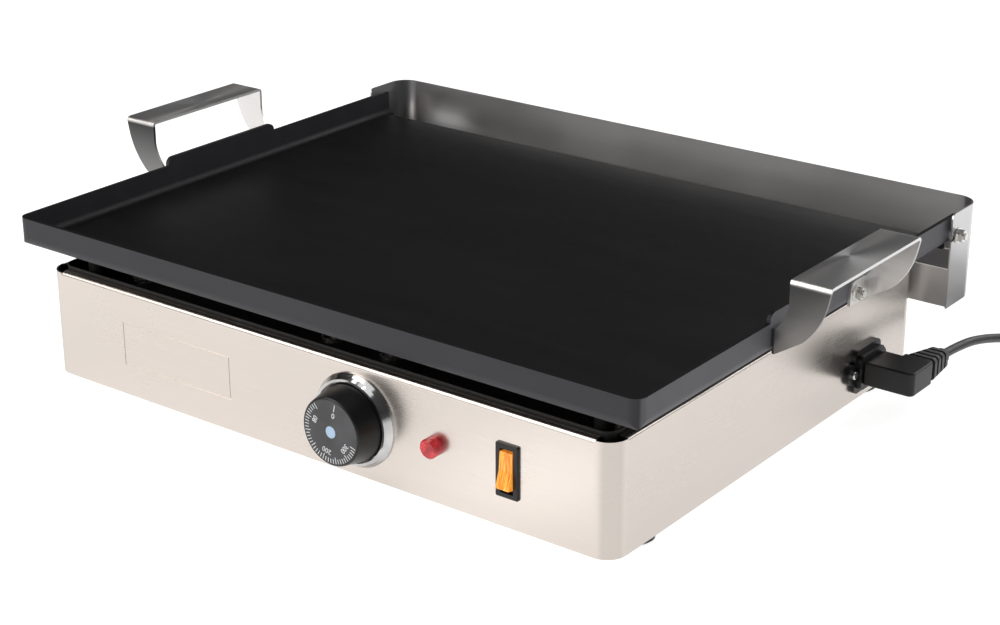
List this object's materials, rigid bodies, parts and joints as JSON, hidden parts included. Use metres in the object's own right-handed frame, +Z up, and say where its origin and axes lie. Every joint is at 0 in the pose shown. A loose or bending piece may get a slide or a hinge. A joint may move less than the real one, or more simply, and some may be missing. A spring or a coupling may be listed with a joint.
{
  "type": "electric griddle",
  "caption": "electric griddle with a lift-off black enamelled plate, side handles, splash guard with grease trough and a stainless base with knob, lamp and rocker switch",
  "frame": {"origin": "on the table, under the middle of the appliance's bounding box without its power lead", "axes": "+X to the user's right, +Y to the rear (splash guard), +Z up"},
  "size_m": [0.6909, 0.5915, 0.1508],
  "materials": {
    "stainless_brushed": "brushed",
    "plated_steel": "satin",
    "black_enamel": "satin speckled enamel",
    "handle_steel": "satin",
    "black_sheet": "matt heat-resistant coating",
    "element_sheath": "oxidised",
    "chrome": "polished",
    "black_plastic": "fine texture",
    "dial_grey": "printed",
    "red_lens": "translucent",
    "amber_rocker": "translucent",
    "rubber": "matt",
    "ceramic": "unglazed",
    "brass": "satin",
    "copper": "drawn",
    "glass_capsule": "clear",
    "wire_insulation": "silicone",
    "cord_jacket": "matt"
  },
  "bodies": {
    "base": {"casing": "stainless_brushed", "base_cover": "stainless_brushed", "sheet_screws": "plated_steel", "feet": "rubber", "reflector_tray": "black_sheet", "tray_brackets": "plated_steel", "plate_posts": "black_sheet", "post_screws": "plated_steel", "heating_element_left": "element_sheath", "heating_element_right": "element_sheath", "element_supports": "plated_steel", "element_bushes": "plated_steel", "element_insulators": "ceramic", "element_terminals": "plated_steel", "thermostat_body": "black_plastic", "thermostat_screws": "plated_steel", "capillary": "copper", "sensor_bulb": "copper", "bulb_brackets": "plated_steel", "knob_bezel": "chrome", "lamp_lens": "red_lens", "lamp_holder": "black_plastic", "neon_capsule": "glass_capsule", "lamp_nut": "plated_steel", "switch_housing": "black_plastic", "switch_tabs": "brass", "inlet_housing": "black_plastic", "inlet_pins": "brass", "inlet_screws": "plated_steel", "inlet_nuts": "plated_steel", "terminal_block": "ceramic", "terminal_sleeves": "brass", "terminal_screws": "plated_steel", "earth_stud": "plated_steel", "earth_nut": "plated_steel", "wiring": "wire_insulation"},
    "knob": {"thermostat_knob": "black_plastic", "dial_face": "dial_grey", "thermostat_spindle": "plated_steel"},
    "rocker": {"rocker": "amber_rocker"},
    "griddle": {"griddle_plate": "black_enamel", "locating_rings": "black_sheet", "handle_right": "handle_steel", "handle_left": "handle_steel", "wall_studs": "plated_steel", "spacer_nuts": "plated_steel", "stud_washers": "plated_steel", "stud_nuts": "plated_steel"},
    "guard": {"splash_guard": "stainless_brushed", "grease_trough": "stainless_brushed"},
    "power_lead": {"connector_body": "black_plastic", "connector_contacts": "brass", "strain_relief": "rubber", "cord": "cord_jacket", "cord_coil": "cord_jacket", "coil_tie": "black_plastic", "cord_tail": "cord_jacket", "plug_body": "black_plastic", "plug_contacts": "plated_steel"}
  },
  "joints": [
    {"name": "thermostat_turn", "type": "hinge", "parent": "base", "child": "knob", "pos_m": [0.0425, -0.19825, 0.0455], "axis": [0, 1, 0], "range_deg": [0, 290]},
    {"name": "switch_rock", "type": "hinge", "parent": "base", "child": "rocker", "pos_m": [0.1634, -0.19675, 0.0455], "axis": [1, 0, 0], "range_deg": [0, 22]},
    {"name": "griddle_lift", "type": "slide", "parent": "base", "child": "griddle", "axis": [0, 0, 1], "range_m": [0, 0.15]},
    {"name": "guard_unhook", "type": "slide", "parent": "griddle", "child": "guard", "axis": [0, 1, 0], "range_m": [0, 0.06]},
    {"name": "lead_pull", "type": "slide", "parent": "base", "child": "power_lead", "axis": [1, 0, 0], "range_m": [0, 0.03]}
  ]
}
